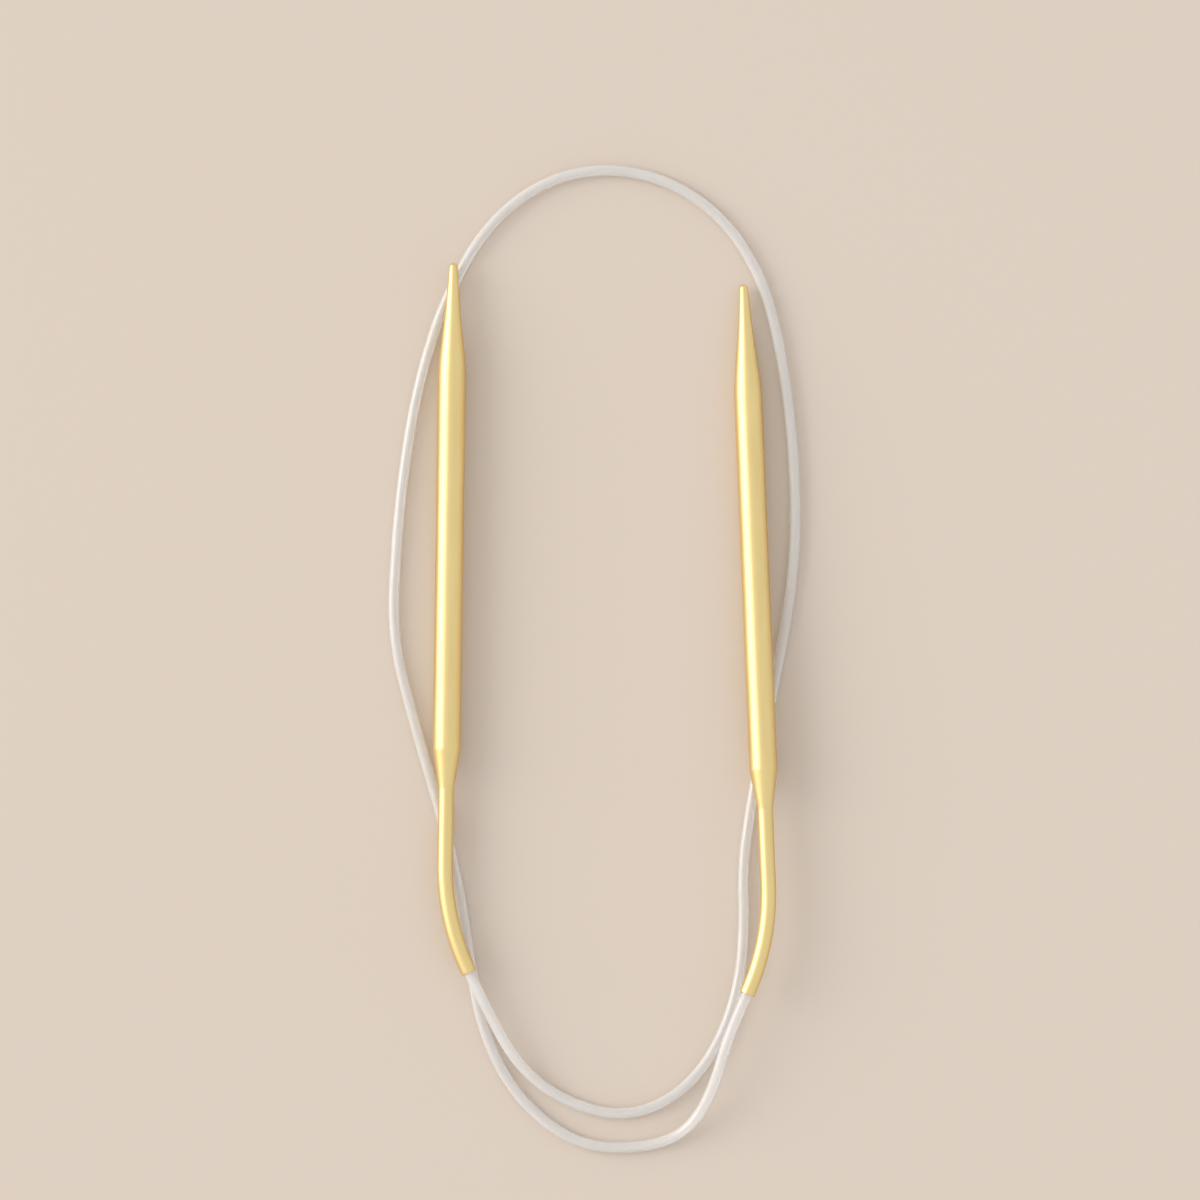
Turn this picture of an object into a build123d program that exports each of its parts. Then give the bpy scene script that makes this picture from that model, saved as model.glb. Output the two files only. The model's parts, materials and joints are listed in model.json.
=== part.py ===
from build123d import *
import os
from math import cos, degrees, pi, radians, sin, tan

# Fixed circular knitting needle: two hollow needles with bent tails, joined by one flexible cord.
#
# Millimetres. The object lies on a table at Z = 0, points towards +Y. The origin is on the table, below the
# middle of the two needles. Each needle is built along its own axis, with its tip at the origin and its tail
# towards -Y, and is then placed. The cord leaves the left needle's tail, goes round the inner bottom arc, up
# the right side, over the top, down the left side and round the outer bottom arc into the right needle's tail.

# needle, measured along its axis from the tip
BARREL_DIAMETER = 5.0
NEEDLE_LENGTH = 127.0
NOSE_RADIUS = 0.77
NOSE_SLOPE = 4.5
TAPER_POINTS = [(1.27, 7.2), (1.93, 13.3), (2.36, 17.4)]
BARREL_START = 21.0
BARREL_END = 86.5
NECK_LENGTH = 7.0
TAIL_DIAMETER = 2.8
TAIL_BEND_START = 107.0
TAIL_BEND_RADIUS = 43.0
RIM_FILLET = 0.2
BARREL_WALL = 0.5
HOLLOW_START = 8.0
HOLLOW_TIP_RADIUS = 0.35

# cord
CORD_DIAMETER = 1.9
CORD_IN_TAIL = 12.0
STRAIGHT_OUT_OF_TAIL = 8.0
TIP_TO_TIP = 736.6
ON_TABLE = CORD_DIAMETER / 2

# placing: tip position, lean of the axis seen from above, rise towards the tail, half turns about the axis
LEFT_TIP = (-27.0, 65.35, 3.25)
LEFT_LEAN = -0.8
LEFT_RISE = 0.09
LEFT_ROLL = 0.0
RIGHT_TIP = (24.7, 61.6, 1.845)
RIGHT_LEAN = 2.3
RIGHT_RISE = 1.87
RIGHT_ROLL = 180.0

# cord route: corners of its runs, in order from the left needle's tail to the right one's
FROM_LEFT_TAIL = [(-16.1, -76.7, 2.7), (-9.9, -82.6, ON_TABLE)]
LOOP_CORNERS = [
    (-5.3, -84.5), (-0.7, -86.4), (7.3, -86.0), (14.9, -81.5), (20.4, -73.7), (23.8, -64.0),
    (24.9, -53.2), (24.5, -42.2), (26.2, -30.2), (29.3, -13.6), (32.8, 3.5), (34.2, 18.9),
    (33.4, 35.4), (31.3, 50.4), (28.0, 63.2), (20.3, 74.8), (7.6, 82.0), (-7.4, 82.0),
    (-19.9, 73.9), (-28.0, 60.6), (-33.0, 45.4), (-35.8, 29.9), (-37.3, 14.9), (-38.0, -1.2),
    (-34.0, -16.7), (-29.1, -33.2), (-25.9, -46.7), (-24.1, -59.7), (-21.8, -71.7), (-16.7, -82.1),
    (-9.0, -89.4), (-1.2, -92.6), (4.0, -92.3),
]
TO_RIGHT_TAIL = [(9.2, -92.0, ON_TABLE), (15.3, -88.8, 2.0), (19.3, -81.6, 4.5)]

# bend of the cord's tube at a corner, as a share of the shorter run beside it
ARC_SHARE = 0.45

TAIL_START = BARREL_END + NECK_LENGTH
TAIL_RADIUS = TAIL_DIAMETER / 2
BARREL_RADIUS = BARREL_DIAMETER / 2
TAIL_BEND_ANGLE = degrees((NEEDLE_LENGTH - TAIL_BEND_START) / TAIL_BEND_RADIUS)
BEND_AXIS = Axis((TAIL_BEND_RADIUS, -TAIL_BEND_START, 0), (0, 0, 1))


def on_axis(radius, along):
    """A point of the needle's outline, at a radius from the axis and a distance behind the tip."""
    return (radius, -along)


def turned(outline):
    """The solid that an outline from axis to axis makes when it is turned about the needle's axis."""
    return revolve(make_face(outline), axis=Axis.Y)


def point_outline():
    """Rounded nose, then the long taper that runs smoothly into the barrel."""
    slope = radians(NOSE_SLOPE)
    middle = radians(45)
    nose_start = on_axis(0, 0)
    nose_middle = on_axis(NOSE_RADIUS * cos(middle), NOSE_RADIUS * (1 - sin(middle)))
    nose_end = on_axis(NOSE_RADIUS * cos(slope), NOSE_RADIUS * (1 - sin(slope)))
    nose = ThreePointArc(nose_start, nose_middle, nose_end)
    taper_points = [on_axis(*point) for point in TAPER_POINTS]
    barrel_front = on_axis(BARREL_RADIUS, BARREL_START)
    along_slope = (sin(slope), -cos(slope))
    taper = Spline(nose_end, *taper_points, barrel_front, tangents=[along_slope, (0, -1)])
    return nose + taper


def outer_body():
    """The needle's outside from the point to the start of the tail's bend."""
    back = Polyline(
        on_axis(BARREL_RADIUS, BARREL_START),
        on_axis(BARREL_RADIUS, BARREL_END),
        on_axis(TAIL_RADIUS, TAIL_START),
        on_axis(TAIL_RADIUS, TAIL_BEND_START),
        on_axis(0, TAIL_BEND_START),
        on_axis(0, 0),
    )
    return turned(point_outline() + back)


def hollow_body(bore_radius):
    """The space inside the barrel, closed towards the point and drawn down to the tail's bore."""
    inside = BARREL_RADIUS - BARREL_WALL
    return turned(
        Polyline(
            on_axis(0, HOLLOW_START),
            on_axis(HOLLOW_TIP_RADIUS, HOLLOW_START),
            on_axis(inside, BARREL_START),
            on_axis(inside, BARREL_END),
            on_axis(bore_radius, TAIL_START),
            on_axis(bore_radius, TAIL_BEND_START),
            on_axis(0, TAIL_BEND_START),
            close=True,
        )
    )


def bent_rod(radius, start_angle, angle):
    """A round rod along the tail's bend, from an angle of that bend on."""
    section = Plane(origin=(0, -TAIL_BEND_START, 0), z_dir=(0, -1, 0)) * Circle(radius)
    rod = revolve(section, axis=BEND_AXIS, revolution_arc=angle)
    return rod.rotate(BEND_AXIS, start_angle)


def needle():
    """One hollow needle: point, taper, barrel, neck and bent tail, with the cord's bore in the tail."""
    bore_radius = CORD_DIAMETER / 2
    outside = outer_body() + bent_rod(TAIL_RADIUS, 0, TAIL_BEND_ANGLE)
    inside = hollow_body(bore_radius) + bent_rod(bore_radius, 0, TAIL_BEND_ANGLE)
    shell = outside - inside
    rim = [edge for edge in shell.edges() if is_outer_rim(edge)]
    return fillet(rim, RIM_FILLET)


def mouth_point():
    """The middle of the tail's mouth, in the needle's own frame."""
    bend = radians(TAIL_BEND_ANGLE)
    aside = TAIL_BEND_RADIUS * (1 - cos(bend))
    along = TAIL_BEND_START + TAIL_BEND_RADIUS * sin(bend)
    return (aside, -along, 0)


def is_outer_rim(edge):
    """Whether an edge is the outer circle of the tail's mouth."""
    at_mouth = (edge.center(CenterOf.MASS) - Vector(*mouth_point())).length < RIM_FILLET
    return at_mouth and abs(edge.length - pi * TAIL_DIAMETER) < RIM_FILLET


def cord_end():
    """The end of the cord inside the tail's bore."""
    angle = degrees(CORD_IN_TAIL / TAIL_BEND_RADIUS)
    return bent_rod(CORD_DIAMETER / 2, TAIL_BEND_ANGLE - angle, angle)


def placing(tip, lean, rise, roll):
    """The place of a needle on the table."""
    return Pos(*tip) * Rot(Z=lean) * Rot(X=-rise) * Rot(Y=roll)


def run_out_of_tail(place):
    """The two ends of the cord's first straight run, from the mouth of a placed needle's tail."""
    mouth = place * Pos(*mouth_point()) * Rot(Z=TAIL_BEND_ANGLE)
    run_end = mouth * Pos(0, -STRAIGHT_OUT_OF_TAIL, 0)
    return [tuple(mouth.position), tuple(run_end.position)]


def corner_radii(route):
    """The largest round bend at each corner that the two runs beside it leave room for."""
    points = [Vector(*point) for point in route]
    radii = []
    for before, corner, after in zip(points, points[1:], points[2:]):
        run_in = corner - before
        run_out = after - corner
        turn = radians(run_in.get_angle(run_out))
        radii.append(ARC_SHARE * min(run_in.length, run_out.length) / tan(turn / 2))
    return radii


def cord_tube(name, route):
    """A stretch of cord: straight runs joined by tangent arcs."""
    radii = corner_radii(route)
    path = FilletPolyline(*route, radius=radii)
    section = Plane(origin=path @ 0, z_dir=path % 0) * Circle(CORD_DIAMETER / 2)
    tube = sweep(section, path=path)
    expected = path.length * pi * CORD_DIAMETER**2 / 4
    print(name, "length", round(path.length, 2), "volume / expected", round(tube.volume / expected, 5))
    print(name, "radii", [round(radius, 1) for radius in radii])
    return tube, path.length


def write(name, solid):
    """One STEP file for one piece."""
    export_step(solid, f"parts/{name}.step")


def build():
    """Makes and writes every piece."""
    os.makedirs("parts", exist_ok=True)
    left = placing(LEFT_TIP, LEFT_LEAN, LEFT_RISE, LEFT_ROLL)
    right = placing(RIGHT_TIP, RIGHT_LEAN, RIGHT_RISE, RIGHT_ROLL)
    for side, place in (("left", left), ("right", right)):
        write(f"{side}_needle", place * needle())
        write(f"{side}_cord_end", place * cord_end())
    loop = [(x, y, ON_TABLE) for x, y in LOOP_CORNERS]
    stretches = {
        "left_cord_flex": [*run_out_of_tail(left), *FROM_LEFT_TAIL, loop[0]],
        "cord_loop": loop,
        "right_cord_flex": [loop[-1], *TO_RIGHT_TAIL, *reversed(run_out_of_tail(right))],
    }
    cord_length = 0
    for name, route in stretches.items():
        tube, length = cord_tube(name, route)
        write(name, tube)
        cord_length += length
    print("cord", round(cord_length, 1), "wanted", TIP_TO_TIP - 2 * NEEDLE_LENGTH)


build()
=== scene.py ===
import json
from math import cos, pi, radians, sin, tan

import bpy
from mathutils import Matrix, Vector


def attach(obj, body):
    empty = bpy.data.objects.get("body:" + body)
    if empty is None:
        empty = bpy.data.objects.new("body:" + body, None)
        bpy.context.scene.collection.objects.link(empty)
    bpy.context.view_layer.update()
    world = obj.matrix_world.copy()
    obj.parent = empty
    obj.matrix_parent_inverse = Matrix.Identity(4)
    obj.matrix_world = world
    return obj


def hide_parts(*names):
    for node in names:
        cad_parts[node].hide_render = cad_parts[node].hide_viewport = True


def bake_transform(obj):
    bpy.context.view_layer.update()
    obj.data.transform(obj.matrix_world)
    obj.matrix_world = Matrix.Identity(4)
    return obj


# Circular knitting needle on a pale table. Metres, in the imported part's frame: the table is Z = 0, the
# needles' points are towards +Y, and the camera looks straight down.

MM = 0.001

# the needle's outline, measured behind its tip
NEEDLE_LENGTH = 127 * MM
NOSE_RADIUS = 0.77 * MM
NOSE_SLOPE = radians(4.5)
TAPER_POINTS = [(1.27 * MM, 7.2 * MM), (1.93 * MM, 13.3 * MM), (2.36 * MM, 17.4 * MM)]
BARREL_RADIUS = 2.5 * MM
BARREL_START = 21 * MM
BARREL_END = 86.5 * MM
TAIL_START = 93.5 * MM
TAIL_RADIUS = 1.4 * MM
TAIL_BEND_START = 107 * MM
TAIL_BEND_RADIUS = 43 * MM
RIM_FILLET = 0.2 * MM
MOUTH_CHAMFER = 0.1 * MM
SHOULDER_FILLET = 2.5 * MM
CORD_IN_TAIL = 12 * MM
BORE_DEPTH = 12.2 * MM
BEND_SIDE = {"left": 1, "right": -1}
AROUND = 96
NOSE_STEPS = 10
TAPER_STEPS = 12
LONG_RUN_STEPS = 48
SHORT_RUN_STEPS = 12
BORE_STEPS = 16
SHOULDER_STEPS = 6
RIM_STEPS = 6

# the cord: its route's points, the same as the CAD tube's, with ON_TABLE in millimetres
CORD_DIAMETER = 1.9 * MM
CORD_SIDES = 48
NURBS_ORDER = 3
CORD_STEPS = 24
FLEX_STEPS = 40
BORE_RADIUS = CORD_DIAMETER / 2
ON_TABLE = 0.95
STRAIGHT_OUT_OF_TAIL = 8 * MM
# route points, in millimetres, of each stretch from its tail's straight run to its seam with the loop;
# this is the stretch that bends when a needle rises, and the rest stays on the table
FLEX_POINTS = {
    "left": [(-16.1, -76.7, 2.7), (-9.9, -82.6, ON_TABLE)],
    "right": [(19.3, -81.6, 4.5), (15.3, -88.8, 2.0), (9.2, -92.0, ON_TABLE)],
}
LOOP_POINTS = [
    (-5.3, -84.5), (-0.7, -86.4), (7.3, -86.0), (14.9, -81.5), (20.4, -73.7), (23.8, -64.0),
    (24.9, -53.2), (24.5, -42.2), (26.2, -30.2), (29.3, -13.6), (32.8, 3.5), (34.2, 18.9),
    (33.4, 35.4), (31.3, 50.4), (28.0, 63.2), (20.3, 74.8), (7.6, 82.0), (-7.4, 82.0),
    (-19.9, 73.9), (-28.0, 60.6), (-33.0, 45.4), (-35.8, 29.9), (-37.3, 14.9), (-38.0, -1.2),
    (-34.0, -16.7), (-29.1, -33.2), (-25.9, -46.7), (-24.1, -59.7), (-21.8, -71.7), (-16.7, -82.1),
    (-9.0, -89.4), (-1.2, -92.6), (4.0, -92.3),
]

# camera and stage
VIEW_CENTRE = (-0.9 * MM, 5.35 * MM)
VIEW_WIDTH = 214.3 * MM
LENS = 200
SENSOR = 36
CLIP_NEAR = 0.05
CLIP_FAR = 10
FLOOR_SIZE = 3.0
FLOOR_COLOUR = (0.68, 0.585, 0.50, 1)
FLOOR_ROUGHNESS = 0.9

# light
KEY_PLACE = (-1.24, 0.32, 0.60)
KEY_WIDTH = 1.1
KEY_HEIGHT = 2.0
KEY_POWER = 4.4
KEY_COLOUR = (1, 0.98, 0.95)
KEY_SPREAD = radians(60)
SURROUND_STRENGTH = 0.82

# materials: the two ends of each colour's range, and the noise that moves between them
GOLD_DEEP = (0.85, 0.63, 0.205)
GOLD_LIGHT = (0.89, 0.68, 0.235)
NYLON_DEEP = (0.95, 0.93, 0.91)
NYLON_LIGHT = (0.98, 0.96, 0.94)
CM_PER_METRE = 100
NOISE_UNITS_PER_CM = 4
NOISE_ROUGHNESS = 0.6
NOISE_LOW = 0.3
NOISE_HIGH = 0.7


def make_camera():
    """A long lens that looks straight down, with the object's tips towards the top of the picture."""
    data = bpy.data.cameras.new("camera")
    data.lens = LENS
    data.sensor_width = SENSOR
    camera = bpy.data.objects.new("camera", data)
    camera.location = (*VIEW_CENTRE, VIEW_WIDTH * LENS / SENSOR)
    data.clip_start = CLIP_NEAR
    data.clip_end = CLIP_FAR
    bpy.context.scene.collection.objects.link(camera)
    bpy.context.scene.camera = camera


# ---------------------------------------------------------------- mesh helpers


def new_object(name, mesh):
    """An object in the scene for a mesh."""
    made = bpy.data.objects.new(name, mesh)
    bpy.context.scene.collection.objects.link(made)
    return made


def ring_mesh(name, rings, start_point=None, end_point=None, sharp_rings=()):
    """A smooth skin over rings of equal size, closed by a fan where an end point is given."""
    sides = len(rings[0])
    points = [point for ring in rings for point in ring]
    faces = []
    for row in range(len(rings) - 1):
        for side in range(sides):
            after = (side + 1) % sides
            low = row * sides
            high = low + sides
            faces.append((low + side, low + after, high + after, high + side))
    if start_point is not None:
        points.append(start_point)
        tip = len(points) - 1
        faces += [(tip, (side + 1) % sides, side) for side in range(sides)]
    if end_point is not None:
        points.append(end_point)
        tip = len(points) - 1
        last = (len(rings) - 1) * sides
        faces += [(tip, last + side, last + (side + 1) % sides) for side in range(sides)]
    mesh = bpy.data.meshes.new(name)
    mesh.from_pydata(points, [], faces)
    mesh.shade_smooth()
    add_grain_map(mesh, rings, sides)
    mark_sharp(mesh, sharp_rings, sides)
    return mesh


def add_grain_map(mesh, rings, sides):
    """A UV map with turns round the piece across, and centimetres along it up."""
    along = [0.0]
    middles = [sum(ring, Vector()) / sides for ring in rings]
    for before, after in zip(middles, middles[1:]):
        along.append(along[-1] + (after - before).length * CM_PER_METRE)
    layer = mesh.uv_layers.new(name="grain")
    last = len(rings) * sides
    for polygon in mesh.polygons:
        columns = [index % sides for index in polygon.vertices if index < last]
        wraps = max(columns) - min(columns) > sides / 2
        for loop in polygon.loop_indices:
            index = mesh.loops[loop].vertex_index
            row, column = divmod(min(index, last - 1), sides)
            turn = column + sides if wraps and column < sides / 2 else column
            layer.data[loop].uv = (turn / sides, along[row])


def mark_sharp(mesh, sharp_rings, sides):
    """Makes the shading break along the given rings."""
    wanted = set(sharp_rings)
    for edge in mesh.edges:
        first, second = (divmod(index, sides) for index in edge.vertices)
        if first[0] == second[0] and first[0] in wanted:
            edge.use_edge_sharp = True


# ---------------------------------------------------------------- cord


def cord_path(name, points, steps):
    """Points close together on the NURBS line that has the route's points as its control points."""
    curve = bpy.data.curves.new(name, "CURVE")
    curve.dimensions = "3D"
    spline = curve.splines.new("NURBS")
    spline.points.add(len(points) - 1)
    for control, point in zip(spline.points, points):
        control.co = (*point, 1)
    spline.order_u = NURBS_ORDER
    spline.use_endpoint_u = True
    spline.resolution_u = steps
    line = bpy.data.objects.new(name, curve)
    mesh = bpy.data.meshes.new_from_object(line)
    path = [vertex.co.copy() for vertex in mesh.vertices]
    bpy.data.objects.remove(line)
    bpy.data.curves.remove(curve)
    bpy.data.meshes.remove(mesh)
    return path


def tangents(path):
    """The direction of the path at each of its points."""
    result = []
    for index in range(len(path)):
        before = path[max(index - 1, 0)]
        after = path[min(index + 1, len(path) - 1)]
        result.append((after - before).normalized())
    return result


def tube(name, path, held_end=None):
    """A round length of cord along a path, with no twist.

    It is closed at the held end, and open where it goes on.
    """
    directions = tangents(path)
    side = Vector((0, 0, -1))
    rings = []
    for point, direction in zip(path, directions):
        side = (side - direction * side.dot(direction)).normalized()
        up = direction.cross(side)
        ring = []
        for step in range(CORD_SIDES):
            turn = 2 * pi * step / CORD_SIDES
            ring.append(point + (side * cos(turn) + up * sin(turn)) * CORD_DIAMETER / 2)
        rings.append(ring)
    return new_object(name, ring_mesh(name, rings, held_end))


# ---------------------------------------------------------------- needles


def nose_arc(count=NOSE_STEPS):
    """Radius and distance behind the tip along the rounded nose, up to the start of the taper."""
    result = []
    for step in range(1, count + 1):
        angle = (pi / 2 - NOSE_SLOPE) * step / count
        result.append((NOSE_RADIUS * sin(angle), NOSE_RADIUS * (1 - cos(angle))))
    return result


def hermite(start, end, slope_start, slope_end, part):
    """A smooth value between two (value, place) pairs with a slope at each."""
    span = end[1] - start[1]
    square = part * part
    cube = square * part
    return (
        (2 * cube - 3 * square + 1) * start[0]
        + (cube - 2 * square + part) * span * slope_start
        + (3 * square - 2 * cube) * end[0]
        + (cube - square) * span * slope_end
    )


def taper_curve(nose_end, count=TAPER_STEPS):
    """The taper from the nose to the barrel, through the taper's own points."""
    knots = [nose_end, *TAPER_POINTS, (BARREL_RADIUS, BARREL_START)]
    slopes = [tan(NOSE_SLOPE)]
    for before, after in zip(knots, knots[2:]):
        slopes.append((after[0] - before[0]) / (after[1] - before[1]))
    slopes.append(0.0)
    result = []
    for index in range(len(knots) - 1):
        start, end = knots[index], knots[index + 1]
        for step in range(1, count + 1):
            part = step / count
            place = start[1] + (end[1] - start[1]) * part
            result.append((hermite(start, end, slopes[index], slopes[index + 1], part), place))
    return result


def straight(start, end, count):
    """Evenly spaced outline points between two of them, with the end and without the start."""
    result = []
    for step in range(1, count + 1):
        result.append(tuple(a + (b - a) * step / count for a, b in zip(start, end)))
    return result


def place_on_axis(radius, along, turn, side):
    """A point of the needle's skin in its own frame.

    The tip is at the origin, the axis runs along -Y, and the tail bends towards side.
    """
    beyond = max(along - TAIL_BEND_START, 0.0)
    bend = beyond / TAIL_BEND_RADIUS
    straight_part = min(along, TAIL_BEND_START)
    across = radius * cos(turn)
    x = TAIL_BEND_RADIUS * (1 - cos(bend)) + across * cos(bend)
    y = -straight_part - TAIL_BEND_RADIUS * sin(bend) + across * sin(bend)
    return Vector((side * x, y, side * radius * sin(turn)))


def rounded_shoulder(before, corner, after, count=SHOULDER_STEPS):
    """The outline's corner between two straight runs, with a small fillet in its place."""
    slope_in = (corner[0] - before[0]) / (corner[1] - before[1])
    slope_out = (after[0] - corner[0]) / (after[1] - corner[1])
    reach = SHOULDER_FILLET * abs(slope_out - slope_in) / 2
    result = []
    for step in range(count + 1):
        part = step / count
        place = corner[1] + reach * (2 * part - 1)
        radius = corner[0] + slope_in * (place - corner[1])
        radius += (slope_out - slope_in) * reach * part * part
        result.append((radius, place))
    return result


def needle_outline():
    """Radius and distance behind the tip, from the nose to the bottom of the cord's bore.

    The numbers of the sharp rings come with it.
    """
    barrel_end = (BARREL_RADIUS, BARREL_END)
    tail_start = (TAIL_RADIUS, TAIL_START)
    bend_start = (TAIL_RADIUS, TAIL_BEND_START)
    outline = nose_arc()
    outline += taper_curve(outline[-1])
    barrel_shoulder = rounded_shoulder(outline[-1], barrel_end, tail_start)
    outline += straight(outline[-1], barrel_shoulder[0], LONG_RUN_STEPS)
    outline += barrel_shoulder[1:]
    tail_shoulder = rounded_shoulder(barrel_end, tail_start, bend_start)
    outline += straight(outline[-1], tail_shoulder[0], SHORT_RUN_STEPS)
    outline += tail_shoulder[1:]
    outline += straight(outline[-1], bend_start, SHORT_RUN_STEPS)
    rim_start = (TAIL_RADIUS, NEEDLE_LENGTH - RIM_FILLET)
    outline += straight(outline[-1], rim_start, LONG_RUN_STEPS)
    for step in range(1, RIM_STEPS + 1):
        angle = pi / 2 * step / RIM_STEPS
        radius = TAIL_RADIUS - RIM_FILLET * (1 - cos(angle))
        outline.append((radius, NEEDLE_LENGTH - RIM_FILLET * (1 - sin(angle))))
    outline.append((BORE_RADIUS + MOUTH_CHAMFER, NEEDLE_LENGTH))
    chamfer_edge = len(outline) - 1
    outline.append((BORE_RADIUS, NEEDLE_LENGTH - MOUTH_CHAMFER))
    mouth_edge = len(outline) - 1
    bore_bottom = (BORE_RADIUS, NEEDLE_LENGTH - BORE_DEPTH)
    outline += straight(outline[-1], bore_bottom, BORE_STEPS)
    bottom_edge = len(outline) - 1
    return outline, (chamfer_edge, mouth_edge, bottom_edge)


def needle(side_name):
    """One needle, in its own frame and placed where the record says that its point and axis are."""
    side = BEND_SIDE[side_name]
    outline, sharp = needle_outline()
    rings = []
    turns = [2 * pi * step / AROUND for step in range(AROUND)]
    for radius, along in outline:
        rings.append([place_on_axis(radius, along, turn, side) for turn in turns])
    tip = Vector((0, 0, 0))
    bottom = place_on_axis(0, outline[-1][1], 0, side)
    name = f"needle_{side_name}"
    made = new_object(name, ring_mesh(name, rings, tip, bottom, sharp))
    made.matrix_world = needle_place(side_name)
    return made


def needle_place(side_name):
    """The needle's frame: origin at its tip, +Y out of the tip along its axis."""
    point = mounts[f"{side_name}_point"]
    forward = Vector(point["axis"]).normalized()
    right = forward.cross(Vector((0, 0, 1))).normalized()
    up = right.cross(forward)
    turned = Matrix((right, forward, up)).transposed().to_4x4()
    return Matrix.Translation(Vector(point["pos_m"])) @ turned


def tail_line(side_name):
    """Four points of the cord's line at a needle.

    They are its end in the bore, the corner of its bend there, the mouth, and the straight run's end.
    """
    place = needle_place(side_name)
    side = BEND_SIDE[side_name]
    inner_end = place @ place_on_axis(0, NEEDLE_LENGTH - CORD_IN_TAIL, 0, side)
    mouth = place @ place_on_axis(0, NEEDLE_LENGTH, 0, side)
    before = place @ place_on_axis(0, NEEDLE_LENGTH - MM / 100, 0, side)
    outward = (mouth - before).normalized()
    corner = mouth - outward * TAIL_BEND_RADIUS * tan(CORD_IN_TAIL / TAIL_BEND_RADIUS / 2)
    return inner_end, corner, mouth, mouth + outward * STRAIGHT_OUT_OF_TAIL


# ---------------------------------------------------------------- materials


def node_tree(name):
    """A new material, its node tree and its shader."""
    material = bpy.data.materials.new(name)
    material.use_nodes = True
    tree = material.node_tree
    shader = tree.nodes["Principled BSDF"]
    return material, tree, shader


def add_node(tree, kind, **inputs):
    """A node of that kind with some of its input values set."""
    node = tree.nodes.new(kind)
    for name, value in inputs.items():
        node.inputs[name.replace("_", " ")].default_value = value
    return node


def drawn_noise(tree, stretch, scale, detail):
    """Noise that runs round a piece without a seam, drawn out along its length."""
    grain = add_node(tree, "ShaderNodeUVMap")
    grain.uv_map = "grain"
    parts = tree.nodes.new("ShaderNodeSeparateXYZ")
    tree.links.new(grain.outputs["UV"], parts.inputs["Vector"])
    angle = calculated(tree, "MULTIPLY", parts.outputs["X"], 2 * pi)
    height = calculated(tree, "MULTIPLY", parts.outputs["Y"], NOISE_UNITS_PER_CM / stretch)
    point = tree.nodes.new("ShaderNodeCombineXYZ")
    tree.links.new(calculated(tree, "COSINE", angle), point.inputs["X"])
    tree.links.new(calculated(tree, "SINE", angle), point.inputs["Y"])
    tree.links.new(height, point.inputs["Z"])
    noise = add_node(tree, "ShaderNodeTexNoise", Scale=scale, Detail=detail, Roughness=NOISE_ROUGHNESS)
    tree.links.new(point.outputs["Vector"], noise.inputs["Vector"])
    return noise.outputs["Fac"]


def calculated(tree, operation, value, factor=0.0):
    """A value put through one step of arithmetic."""
    node = tree.nodes.new("ShaderNodeMath")
    node.operation = operation
    tree.links.new(value, node.inputs[0])
    node.inputs[1].default_value = factor
    return node.outputs["Value"]


def ranged(tree, value, low, high):
    """Noise, mostly between NOISE_LOW and NOISE_HIGH, brought to the range from low to high."""
    node = add_node(tree, "ShaderNodeMapRange", From_Min=NOISE_LOW, From_Max=NOISE_HIGH)
    node.inputs["To Min"].default_value = low
    node.inputs["To Max"].default_value = high
    tree.links.new(value, node.inputs["Value"])
    return node.outputs["Result"]


def mixed(tree, value, low, high):
    """A colour between two, by a value."""
    node = tree.nodes.new("ShaderNodeMix")
    node.data_type = "RGBA"
    node.inputs["A"].default_value = (*low, 1)
    node.inputs["B"].default_value = (*high, 1)
    tree.links.new(value, node.inputs["Factor"])
    return node.outputs["Result"]


def bumped(tree, shader, height, distance, strength):
    """Fine relief on the shader, from a height."""
    bump = add_node(tree, "ShaderNodeBump", Strength=strength, Distance=distance)
    tree.links.new(height, bump.inputs["Height"])
    tree.links.new(bump.outputs["Normal"], shader.inputs["Normal"])


def anodised_gold():
    """Satin pale-gold aluminium: fine drawn grain along the needle, under a clear oxide layer."""
    material, tree, shader = node_tree("anodised_gold")
    grain = drawn_noise(tree, stretch=120, scale=14, detail=4)
    cloud = drawn_noise(tree, stretch=6, scale=1.3, detail=2)
    colour = mixed(tree, ranged(tree, cloud, low=0, high=1), GOLD_DEEP, GOLD_LIGHT)
    tree.links.new(colour, shader.inputs["Base Color"])
    shader.inputs["Metallic"].default_value = 1
    shader.inputs["Specular Tint"].default_value = (0.80, 0.52, 0.22, 1)
    shader.inputs["Coat Weight"].default_value = 1
    shader.inputs["Coat IOR"].default_value = 2.1
    shader.inputs["Coat Roughness"].default_value = 0.47
    roughness = ranged(tree, grain, low=0.38, high=0.48)
    tree.links.new(roughness, shader.inputs["Roughness"])
    bumped(tree, shader, grain, distance=0.00001, strength=0.4)
    return material


def frosted_nylon():
    """Milky, translucent cord: over half of the light passes through it, and the rest scatters."""
    material, tree, shader = node_tree("frosted_nylon")
    cloud = drawn_noise(tree, stretch=3, scale=0.6, detail=1)
    colour = mixed(tree, ranged(tree, cloud, low=0, high=1), NYLON_DEEP, NYLON_LIGHT)
    tree.links.new(colour, shader.inputs["Base Color"])
    roughness = ranged(tree, cloud, low=0.10, high=0.16)
    tree.links.new(roughness, shader.inputs["Roughness"])
    shader.inputs["IOR"].default_value = 1.1
    shader.inputs["Transmission Weight"].default_value = 0.58
    shader.inputs["Sheen Weight"].default_value = 1
    shader.inputs["Sheen Roughness"].default_value = 0.12
    shader.inputs["Coat Weight"].default_value = 0.8
    shader.inputs["Coat IOR"].default_value = 1.6
    shader.inputs["Coat Roughness"].default_value = 0.15
    return material


def table_top():
    """A plain pale floor."""
    material, _, shader = node_tree("table_top")
    shader.inputs["Base Color"].default_value = FLOOR_COLOUR
    shader.inputs["Roughness"].default_value = FLOOR_ROUGHNESS
    return material


# ---------------------------------------------------------------- stage


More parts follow.
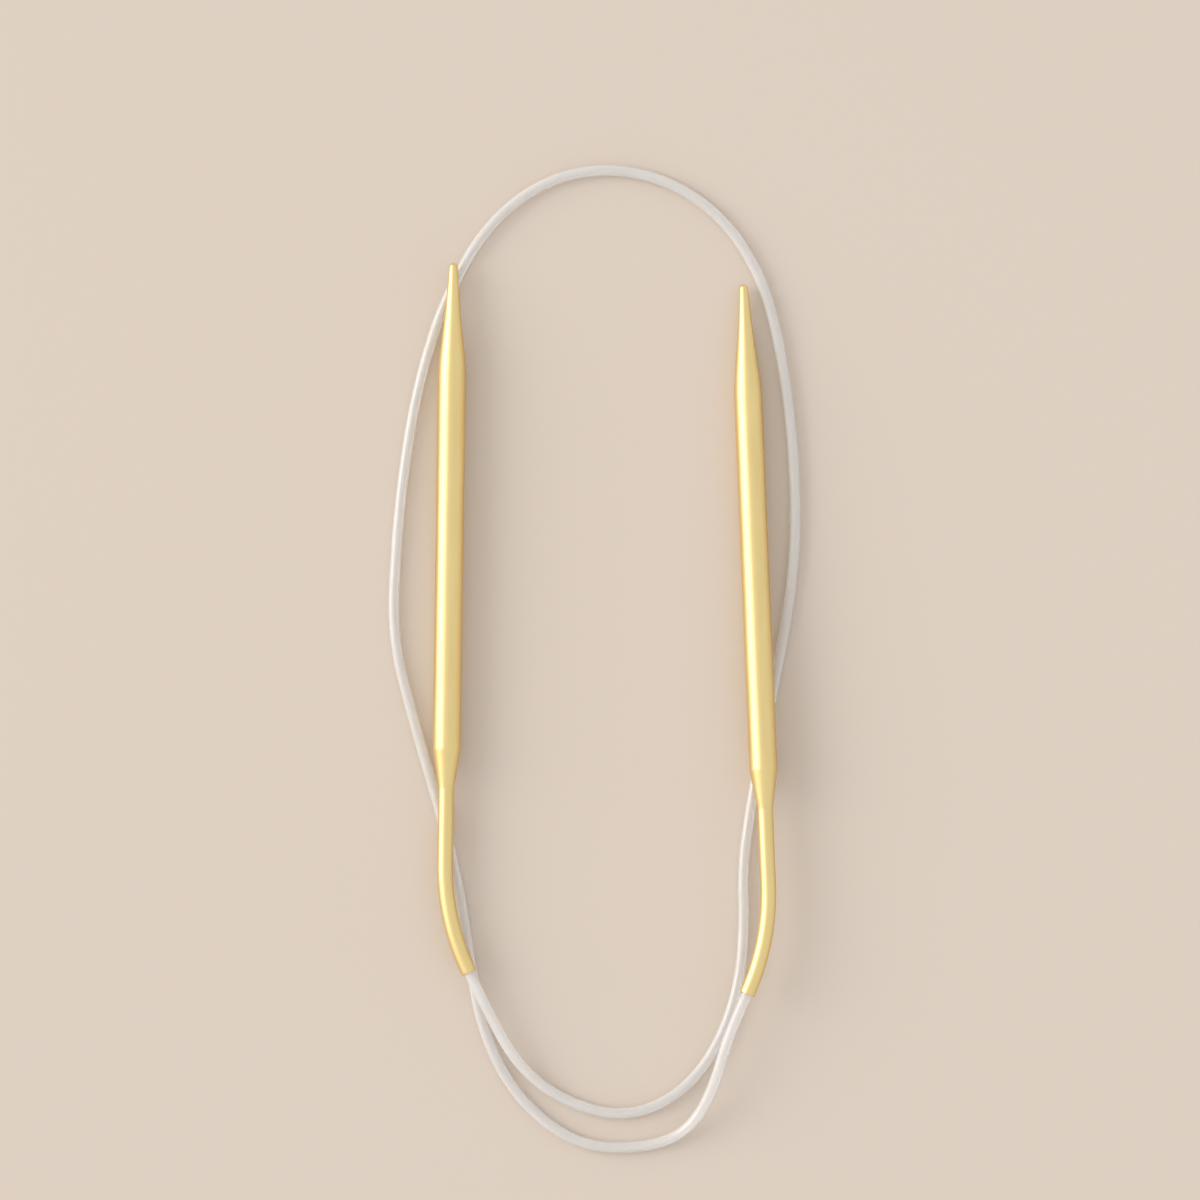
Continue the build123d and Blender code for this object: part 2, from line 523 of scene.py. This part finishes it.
def make_floor():
    """The table, as one plain square."""
    half = FLOOR_SIZE / 2
    corners = [(-half, -half, 0), (half, -half, 0), (half, half, 0), (-half, half, 0)]
    mesh = bpy.data.meshes.new("floor")
    mesh.from_pydata(corners, [], [(0, 1, 2, 3)])
    floor = new_object("floor", mesh)
    floor.data.materials.append(table_top())


def area_light(name, place, width, height, power, colour, spread):
    """A soft box that looks at the middle of the object."""
    data = bpy.data.lights.new(name, "AREA")
    data.shape = "RECTANGLE"
    data.size = width
    data.size_y = height
    data.energy = power
    data.color = colour
    data.spread = spread
    light = bpy.data.objects.new(name, data)
    light.location = place
    light.rotation_euler = (-Vector(place)).to_track_quat("-Z", "Y").to_euler()
    bpy.context.scene.collection.objects.link(light)


def set_look():
    """Plain colours, as a product photograph has them."""
    bpy.context.scene.view_settings.view_transform = "Standard"


def make_lights():
    """A large soft box on the left, and an even pale surround."""
    area_light("key", KEY_PLACE, KEY_WIDTH, KEY_HEIGHT, KEY_POWER, KEY_COLOUR, KEY_SPREAD)
    world = bpy.data.worlds.new("surround")
    world.use_nodes = True
    background = world.node_tree.nodes["Background"]
    background.inputs["Color"].default_value = (1, 1, 1, 1)
    background.inputs["Strength"].default_value = SURROUND_STRENGTH
    bpy.context.scene.world = world


# ---------------------------------------------------------------- assembly


def metres(points):
    """Route points in metres."""
    return [Vector(point) * MM for point in points]


def make_loop(material):
    """The long stretch of cord that lies on the table."""
    points = metres([(x, y, ON_TABLE) for x, y in LOOP_POINTS])
    path = cord_path("loop_line", points, CORD_STEPS)
    piece = tube("cord_loop_tube", path)
    piece.data.materials.append(material)
    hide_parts("cord_loop")
    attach(piece, "cord")


def make_flex(side_name, seam, material):
    """The stretch of cord that bends when a needle is lifted, from inside the tail to the table."""
    inner_end, corner, mouth, run_end = tail_line(side_name)
    points = [inner_end, corner, run_end, *metres(FLEX_POINTS[side_name]), seam]
    path = cord_path(f"{side_name}_flex_line", points, FLEX_STEPS)
    piece = tube(f"cord_{side_name}_flex_tube", path, held_end=path[0])
    piece.data.materials.append(material)
    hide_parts(f"{side_name}_cord_flex", f"{side_name}_cord_end")
    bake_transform(piece)


def make_needle(side_name, metal):
    """One needle of the pair."""
    piece = needle(side_name)
    piece.data.materials.append(metal)
    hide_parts(f"{side_name}_needle")
    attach(piece, f"{side_name}_needle")


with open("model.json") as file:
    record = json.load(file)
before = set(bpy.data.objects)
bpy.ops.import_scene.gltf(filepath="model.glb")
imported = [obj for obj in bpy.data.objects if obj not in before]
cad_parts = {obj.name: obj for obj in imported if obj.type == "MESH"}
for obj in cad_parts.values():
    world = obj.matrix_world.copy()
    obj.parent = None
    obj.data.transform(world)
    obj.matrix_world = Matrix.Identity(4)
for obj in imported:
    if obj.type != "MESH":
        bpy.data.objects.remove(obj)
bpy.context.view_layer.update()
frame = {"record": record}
mounts = {mount["name"]: mount for mount in frame["record"]["mounts"]}
make_camera()
nylon = frosted_nylon()
gold = anodised_gold()
make_loop(nylon)
make_flex("left", Vector((*LOOP_POINTS[0], ON_TABLE)) * MM, nylon)
make_flex("right", Vector((*LOOP_POINTS[-1], ON_TABLE)) * MM, nylon)
for side_name in BEND_SIDE:
    make_needle(side_name, gold)
make_floor()
make_lights()
set_look()
